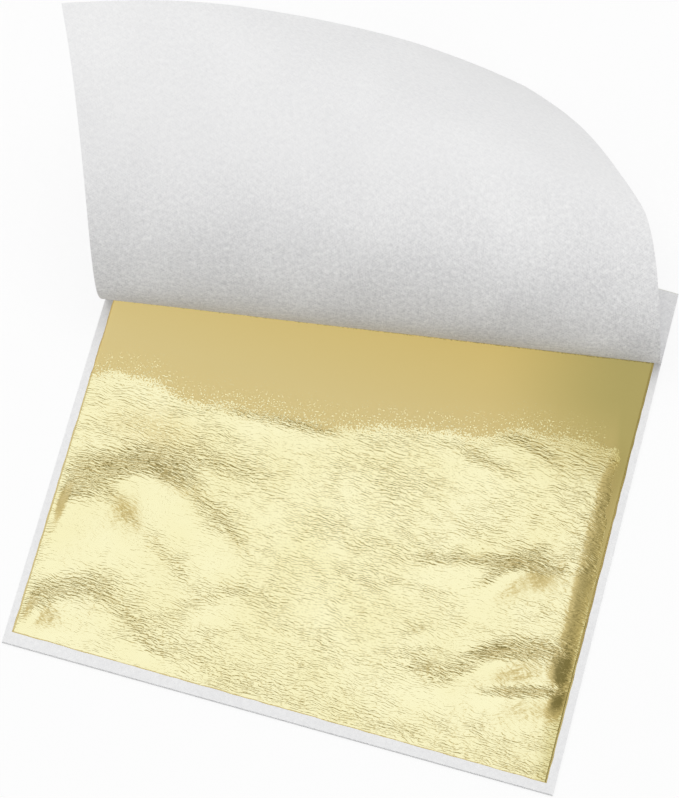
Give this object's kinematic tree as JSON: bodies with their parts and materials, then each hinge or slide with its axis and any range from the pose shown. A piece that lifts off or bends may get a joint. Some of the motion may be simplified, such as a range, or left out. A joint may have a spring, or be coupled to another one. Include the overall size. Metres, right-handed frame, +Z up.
{
  "type": "gold leaf booklet",
  "caption": "Square booklet of thin metal leaves between white tissue pages glued along one edge, with the top page lifted at a slanting crease and curled back over the spine.",
  "frame": {"origin": "middle of the flat underside of the block of pages, on the surface that it lies on", "axes": "+X along the spine, +Y from the fore edge towards the spine, +Z up"},
  "size_m": [0.1729, 0.1917, 0.0628],
  "materials": {
    "tissue": "matte white tissue, slightly see-through",
    "metal_leaf": "bright beaten metal leaf, finely crinkled",
    "padding_glue": "thin dried film"
  },
  "bodies": {
    "bound_pages": {"spine_glue": "padding_glue", "lifted_page_bound_strip": "tissue", "tissue_page_02": "tissue", "tissue_page_03": "tissue", "tissue_page_04": "tissue", "tissue_page_05": "tissue", "tissue_page_06": "tissue", "tissue_page_07": "tissue", "tissue_page_08": "tissue", "tissue_page_09": "tissue", "tissue_page_10": "tissue", "tissue_page_11": "tissue", "tissue_page_12": "tissue", "tissue_page_13": "tissue", "tissue_page_14": "tissue", "tissue_page_15": "tissue", "tissue_page_16": "tissue", "tissue_page_17": "tissue", "tissue_page_18": "tissue", "tissue_page_19": "tissue", "tissue_page_20": "tissue", "tissue_page_21": "tissue", "tissue_page_22": "tissue", "tissue_page_23": "tissue", "tissue_page_24": "tissue", "tissue_page_25": "tissue", "tissue_page_26": "tissue"},
    "page_band_1": {"lifted_page_band_1": "tissue"},
    "page_band_2": {"lifted_page_band_2": "tissue"},
    "page_band_3": {"lifted_page_band_3": "tissue"},
    "page_band_4": {"lifted_page_band_4": "tissue"},
    "page_band_5": {"lifted_page_band_5": "tissue"},
    "page_band_6": {"lifted_page_band_6": "tissue"},
    "page_band_7": {"lifted_page_band_7": "tissue"},
    "leaf_01": {"gold_leaf_01": "metal_leaf"},
    "leaf_02": {"gold_leaf_02": "metal_leaf"},
    "leaf_03": {"gold_leaf_03": "metal_leaf"},
    "leaf_04": {"gold_leaf_04": "metal_leaf"},
    "leaf_05": {"gold_leaf_05": "metal_leaf"},
    "leaf_06": {"gold_leaf_06": "metal_leaf"},
    "leaf_07": {"gold_leaf_07": "metal_leaf"},
    "leaf_08": {"gold_leaf_08": "metal_leaf"},
    "leaf_09": {"gold_leaf_09": "metal_leaf"},
    "leaf_10": {"gold_leaf_10": "metal_leaf"},
    "leaf_11": {"gold_leaf_11": "metal_leaf"},
    "leaf_12": {"gold_leaf_12": "metal_leaf"},
    "leaf_13": {"gold_leaf_13": "metal_leaf"},
    "leaf_14": {"gold_leaf_14": "metal_leaf"},
    "leaf_15": {"gold_leaf_15": "metal_leaf"},
    "leaf_16": {"gold_leaf_16": "metal_leaf"},
    "leaf_17": {"gold_leaf_17": "metal_leaf"},
    "leaf_18": {"gold_leaf_18": "metal_leaf"},
    "leaf_19": {"gold_leaf_19": "metal_leaf"},
    "leaf_20": {"gold_leaf_20": "metal_leaf"},
    "leaf_21": {"gold_leaf_21": "metal_leaf"},
    "leaf_22": {"gold_leaf_22": "metal_leaf"},
    "leaf_23": {"gold_leaf_23": "metal_leaf"},
    "leaf_24": {"gold_leaf_24": "metal_leaf"},
    "leaf_25": {"gold_leaf_25": "metal_leaf"}
  },
  "joints": [
    {"name": "page_crease", "type": "hinge", "parent": "bound_pages", "child": "page_band_1", "pos_m": [0, 0.0396, 0.001], "axis": [0.9859, 0.1676, 0], "range_deg": [0, 49.5]},
    {"name": "page_bend_1", "type": "hinge", "parent": "page_band_1", "child": "page_band_2", "pos_m": [-0.00098, 0.03528, 0.00996], "axis": [0.9825, 0.1831, -0.0348], "range_deg": [0, 39.1]},
    {"name": "page_bend_2", "type": "hinge", "parent": "page_band_2", "child": "page_band_3", "pos_m": [-0.00272, 0.03517, 0.01981], "axis": [0.9817, 0.1826, -0.0537], "range_deg": [0, 22]},
    {"name": "page_bend_3", "type": "hinge", "parent": "page_band_3", "child": "page_band_4", "pos_m": [-0.00573, 0.03952, 0.03078], "axis": [0.9821, 0.171, -0.0794], "range_deg": [0, 20.9]},
    {"name": "page_bend_4", "type": "hinge", "parent": "page_band_4", "child": "page_band_5", "pos_m": [-0.01023, 0.04875, 0.04074], "axis": [0.9843, 0.1317, -0.1176], "range_deg": [0, 26.2]},
    {"name": "page_bend_5", "type": "hinge", "parent": "page_band_5", "child": "page_band_6", "pos_m": [-0.02085, 0.0721, 0.04934], "axis": [0.9858, -0.0288, -0.1653], "range_deg": [0, 31.5]},
    {"name": "page_bend_6", "type": "hinge", "parent": "page_band_6", "child": "page_band_7", "pos_m": [-0.00209, 0.0864, 0.04157], "axis": [0.982, -0.1396, -0.1274], "range_deg": [0, 24.2]},
    {"name": "leaf_01_slide", "type": "slide", "parent": "bound_pages", "child": "leaf_01", "axis": [0, -1, 0], "range_m": [0, 0.15]},
    {"name": "leaf_02_slide", "type": "slide", "parent": "bound_pages", "child": "leaf_02", "axis": [0, -1, 0], "range_m": [0, 0.15]},
    {"name": "leaf_03_slide", "type": "slide", "parent": "bound_pages", "child": "leaf_03", "axis": [0, -1, 0], "range_m": [0, 0.15]},
    {"name": "leaf_04_slide", "type": "slide", "parent": "bound_pages", "child": "leaf_04", "axis": [0, -1, 0], "range_m": [0, 0.15]},
    {"name": "leaf_05_slide", "type": "slide", "parent": "bound_pages", "child": "leaf_05", "axis": [0, -1, 0], "range_m": [0, 0.15]},
    {"name": "leaf_06_slide", "type": "slide", "parent": "bound_pages", "child": "leaf_06", "axis": [0, -1, 0], "range_m": [0, 0.15]},
    {"name": "leaf_07_slide", "type": "slide", "parent": "bound_pages", "child": "leaf_07", "axis": [0, -1, 0], "range_m": [0, 0.15]},
    {"name": "leaf_08_slide", "type": "slide", "parent": "bound_pages", "child": "leaf_08", "axis": [0, -1, 0], "range_m": [0, 0.15]},
    {"name": "leaf_09_slide", "type": "slide", "parent": "bound_pages", "child": "leaf_09", "axis": [0, -1, 0], "range_m": [0, 0.15]},
    {"name": "leaf_10_slide", "type": "slide", "parent": "bound_pages", "child": "leaf_10", "axis": [0, -1, 0], "range_m": [0, 0.15]},
    {"name": "leaf_11_slide", "type": "slide", "parent": "bound_pages", "child": "leaf_11", "axis": [0, -1, 0], "range_m": [0, 0.15]},
    {"name": "leaf_12_slide", "type": "slide", "parent": "bound_pages", "child": "leaf_12", "axis": [0, -1, 0], "range_m": [0, 0.15]},
    {"name": "leaf_13_slide", "type": "slide", "parent": "bound_pages", "child": "leaf_13", "axis": [0, -1, 0], "range_m": [0, 0.15]},
    {"name": "leaf_14_slide", "type": "slide", "parent": "bound_pages", "child": "leaf_14", "axis": [0, -1, 0], "range_m": [0, 0.15]},
    {"name": "leaf_15_slide", "type": "slide", "parent": "bound_pages", "child": "leaf_15", "axis": [0, -1, 0], "range_m": [0, 0.15]},
    {"name": "leaf_16_slide", "type": "slide", "parent": "bound_pages", "child": "leaf_16", "axis": [0, -1, 0], "range_m": [0, 0.15]},
    {"name": "leaf_17_slide", "type": "slide", "parent": "bound_pages", "child": "leaf_17", "axis": [0, -1, 0], "range_m": [0, 0.15]},
    {"name": "leaf_18_slide", "type": "slide", "parent": "bound_pages", "child": "leaf_18", "axis": [0, -1, 0], "range_m": [0, 0.15]},
    {"name": "leaf_19_slide", "type": "slide", "parent": "bound_pages", "child": "leaf_19", "axis": [0, -1, 0], "range_m": [0, 0.15]},
    {"name": "leaf_20_slide", "type": "slide", "parent": "bound_pages", "child": "leaf_20", "axis": [0, -1, 0], "range_m": [0, 0.15]},
    {"name": "leaf_21_slide", "type": "slide", "parent": "bound_pages", "child": "leaf_21", "axis": [0, -1, 0], "range_m": [0, 0.15]},
    {"name": "leaf_22_slide", "type": "slide", "parent": "bound_pages", "child": "leaf_22", "axis": [0, -1, 0], "range_m": [0, 0.15]},
    {"name": "leaf_23_slide", "type": "slide", "parent": "bound_pages", "child": "leaf_23", "axis": [0, -1, 0], "range_m": [0, 0.15]},
    {"name": "leaf_24_slide", "type": "slide", "parent": "bound_pages", "child": "leaf_24", "axis": [0, -1, 0], "range_m": [0, 0.15]},
    {"name": "leaf_25_slide", "type": "slide", "parent": "bound_pages", "child": "leaf_25", "axis": [0, -1, 0], "range_m": [0, 0.15]}
  ]
}
